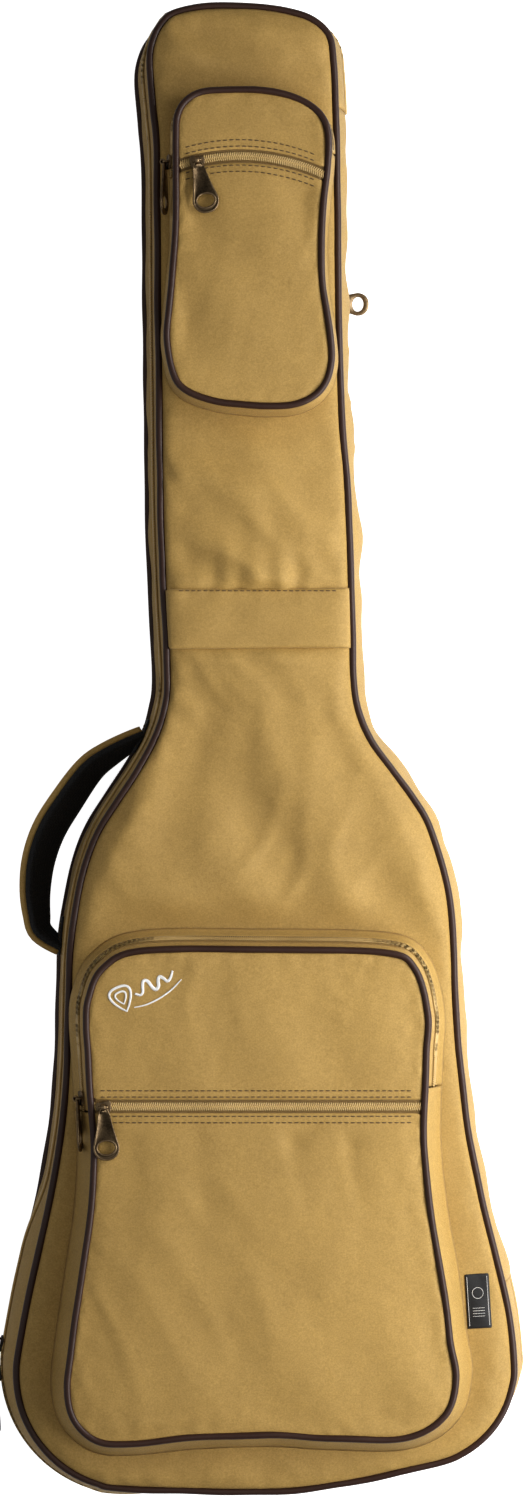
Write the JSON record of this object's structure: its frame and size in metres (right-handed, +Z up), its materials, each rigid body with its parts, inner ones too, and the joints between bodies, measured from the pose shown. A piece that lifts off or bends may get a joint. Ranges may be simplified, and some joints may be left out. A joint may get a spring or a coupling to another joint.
{
  "type": "guitar gig bag",
  "caption": "Padded electric guitar gig bag with a zipped hinged cover, two zipped front pockets, rear pocket, side carry handle and piped seams.",
  "frame": {"origin": "on the flat underside of the rear pocket, below the middle of the bounding box; the bag lies on its back", "axes": "+X across the bag towards the hinge side of its cover, +Y along it towards the head end, +Z up, out of the front"},
  "size_m": [0.3786, 1.0624, 0.1299],
  "materials": {
    "main_fabric": "woven polyester, slight sheen",
    "trim_fabric": "plain woven polyester",
    "piping": "dark brown leatherette piping",
    "zip_tape": "woven zip tape with a tan nylon coil",
    "zip_metal": "antique finish",
    "lining": "short black pile",
    "pad": "matte black webbing and padding",
    "label": "woven black label",
    "foam": "closed-cell foam"
  },
  "bodies": {
    "shell": {"back_panel": "main_fabric", "back_lining": "lining", "back_piping": "piping", "gusset_back": "main_fabric", "hinge_gusset_back": "main_fabric", "main_zip_back": "zip_tape", "rear_pocket_panel": "main_fabric", "rear_zip_inner": "zip_tape", "rear_zip_outer": "zip_tape", "neck_cradle": "foam", "handle_anchor_upper": "pad", "handle_anchor_lower": "pad"},
    "cover": {"front_panel": "main_fabric", "front_lining": "lining", "front_piping": "piping", "gusset_front": "main_fabric", "hinge_gusset_front": "main_fabric", "main_zip_front": "zip_tape", "neck_band": "trim_fabric", "side_label": "label", "lower_pocket_gusset_lower": "main_fabric", "lower_pocket_gusset_back": "main_fabric", "lower_pocket_zip_back": "zip_tape", "lower_pocket_piping_lower": "piping", "lower_pocket_face_lower": "main_fabric", "lower_pocket_face_zip_lower": "zip_tape", "lower_pocket_face_zip_upper": "zip_tape", "head_pocket_gusset_lower": "main_fabric", "head_pocket_gusset_back": "main_fabric", "head_pocket_zip_back": "zip_tape", "head_pocket_piping_lower": "piping", "head_pocket_face_lower": "main_fabric", "head_pocket_face_zip_lower": "zip_tape", "head_pocket_face_zip_upper": "zip_tape"},
    "lower_pocket_flap": {"lower_pocket_gusset_front": "main_fabric", "lower_pocket_zip_front": "zip_tape", "lower_pocket_piping_upper": "piping", "lower_pocket_face_upper": "main_fabric"},
    "head_pocket_flap": {"head_pocket_gusset_front": "main_fabric", "head_pocket_zip_front": "zip_tape", "head_pocket_piping_upper": "piping", "head_pocket_face_upper": "main_fabric"},
    "handle": {"handle_strap": "trim_fabric", "handle_pad": "pad"},
    "neck_strap_left": {"neck_strap_left": "pad"},
    "neck_strap_right": {"neck_strap_right": "pad"},
    "lower_pocket_face_slider": {"lower_pocket_face_slider": "zip_metal"},
    "lower_pocket_face_pull": {"lower_pocket_face_pull": "zip_metal"},
    "head_pocket_face_slider": {"head_pocket_face_slider": "zip_metal"},
    "head_pocket_face_pull": {"head_pocket_face_pull": "zip_metal"},
    "lower_pocket_side_slider": {"lower_pocket_side_slider": "zip_metal"},
    "lower_pocket_side_pull": {"lower_pocket_side_pull": "zip_metal"},
    "head_pocket_side_slider": {"head_pocket_side_slider": "zip_metal"},
    "head_pocket_side_pull": {"head_pocket_side_pull": "zip_metal"},
    "main_slider_side": {"main_slider_side": "zip_metal"},
    "main_pull_side": {"main_pull_side": "zip_metal"},
    "main_slider_bottom": {"main_slider_bottom": "zip_metal"},
    "main_pull_bottom": {"main_pull_bottom": "zip_metal"},
    "rear_slider": {"rear_slider": "zip_metal"},
    "rear_pull": {"rear_pull": "zip_metal"}
  },
  "joints": [
    {"name": "cover_hinge", "type": "hinge", "parent": "shell", "child": "cover", "pos_m": [0.12724, 0.03753, 0.0503], "axis": [-0.1402, 0.9901, 0], "range_deg": [0, 120]},
    {"name": "lower_pocket_flap_fold", "type": "hinge", "parent": "cover", "child": "lower_pocket_flap", "pos_m": [0.00419, -0.23372, 0.1242], "axis": [1, 0, 0], "range_deg": [0, 100]},
    {"name": "head_pocket_flap_fold", "type": "hinge", "parent": "cover", "child": "head_pocket_flap", "pos_m": [0.00419, 0.41628, 0.1242], "axis": [1, 0, 0], "range_deg": [0, 100]},
    {"name": "handle_swing", "type": "hinge", "parent": "shell", "child": "handle", "pos_m": [-0.13011, -0.06722, 0.029], "axis": [0.3574, 0.934, 0], "range_deg": [0, 45]},
    {"name": "neck_strap_left_fold", "type": "hinge", "parent": "shell", "child": "neck_strap_left", "pos_m": [-0.02931, 0.09128, 0.0442], "axis": [0, -1, 0], "range_deg": [0, 150]},
    {"name": "neck_strap_right_fold", "type": "hinge", "parent": "shell", "child": "neck_strap_right", "pos_m": [0.03369, 0.09128, 0.0442], "axis": [0, 1, 0], "range_deg": [0, 150]},
    {"name": "lower_pocket_face_zip_run", "type": "slide", "parent": "cover", "child": "lower_pocket_face_slider", "axis": [1, 0, 0], "range_m": [0, 0.205]},
    {"name": "lower_pocket_face_pull_swing", "type": "hinge", "parent": "lower_pocket_face_slider", "child": "lower_pocket_face_pull", "pos_m": [-0.10518, -0.24722, 0.12795], "axis": [-0.9976, -0.0698, 0], "range_deg": [0, 95]},
    {"name": "head_pocket_face_zip_run", "type": "hinge", "parent": "cover", "child": "head_pocket_face_slider", "pos_m": [-0.01101, 0.27328, 0.12195], "axis": [0, 0, -1], "range_deg": [0, 31]},
    {"name": "head_pocket_face_pull_swing", "type": "hinge", "parent": "head_pocket_face_slider", "child": "head_pocket_face_pull", "pos_m": [-0.04068, 0.406, 0.12795], "axis": [-0.9759, -0.2181, 0], "range_deg": [0, 95]},
    {"name": "lower_pocket_side_zip_run", "type": "slide", "parent": "cover", "child": "lower_pocket_side_slider", "axis": [-0.064, 0.9979, 0], "range_m": [0, 0.045]},
    {"name": "lower_pocket_side_pull_swing", "type": "hinge", "parent": "lower_pocket_side_slider", "child": "lower_pocket_side_pull", "pos_m": [-0.12536, -0.24294, 0.11004], "axis": [-0.3888, -0.025, -0.921], "range_deg": [0, 150]},
    {"name": "head_pocket_side_zip_run", "type": "slide", "parent": "cover", "child": "head_pocket_side_slider", "axis": [0.0105, 0.9999, 0], "range_m": [0, 0.01]},
    {"name": "head_pocket_side_pull_swing", "type": "hinge", "parent": "head_pocket_side_slider", "child": "head_pocket_side_pull", "pos_m": [-0.06463, 0.40788, 0.10926], "axis": [-0.26, 0.0027, -0.9656], "range_deg": [0, 150]},
    {"name": "main_zip_run_side", "type": "slide", "parent": "shell", "child": "main_slider_side", "axis": [0.1907, 0.9817, 0], "range_m": [0, 0.055]},
    {"name": "main_pull_side_swing", "type": "hinge", "parent": "main_slider_side", "child": "main_pull_side", "pos_m": [-0.18542, -0.42155, 0.05123], "axis": [0.1907, 0.9817, 0], "range_deg": [0, 150]},
    {"name": "main_zip_run_bottom", "type": "hinge", "parent": "shell", "child": "main_slider_bottom", "pos_m": [-0.08971, -0.43752, 0.0503], "axis": [0, 0, 1], "range_deg": [0, 72]},
    {"name": "main_pull_bottom_swing", "type": "hinge", "parent": "main_slider_bottom", "child": "main_pull_bottom", "pos_m": [-0.18668, -0.44345, 0.05127], "axis": [-0.1437, -0.0088, -0.9896], "range_deg": [0, 100]},
    {"name": "rear_zip_run", "type": "slide", "parent": "shell", "child": "rear_slider", "axis": [0, -1, 0], "range_m": [0, 0.23]},
    {"name": "rear_pull_swing", "type": "hinge", "parent": "rear_slider", "child": "rear_pull", "pos_m": [0.04819, 0.32328, 0.002], "axis": [0.0698, 0.9976, 0], "range_deg": [0, 90]}
  ]
}
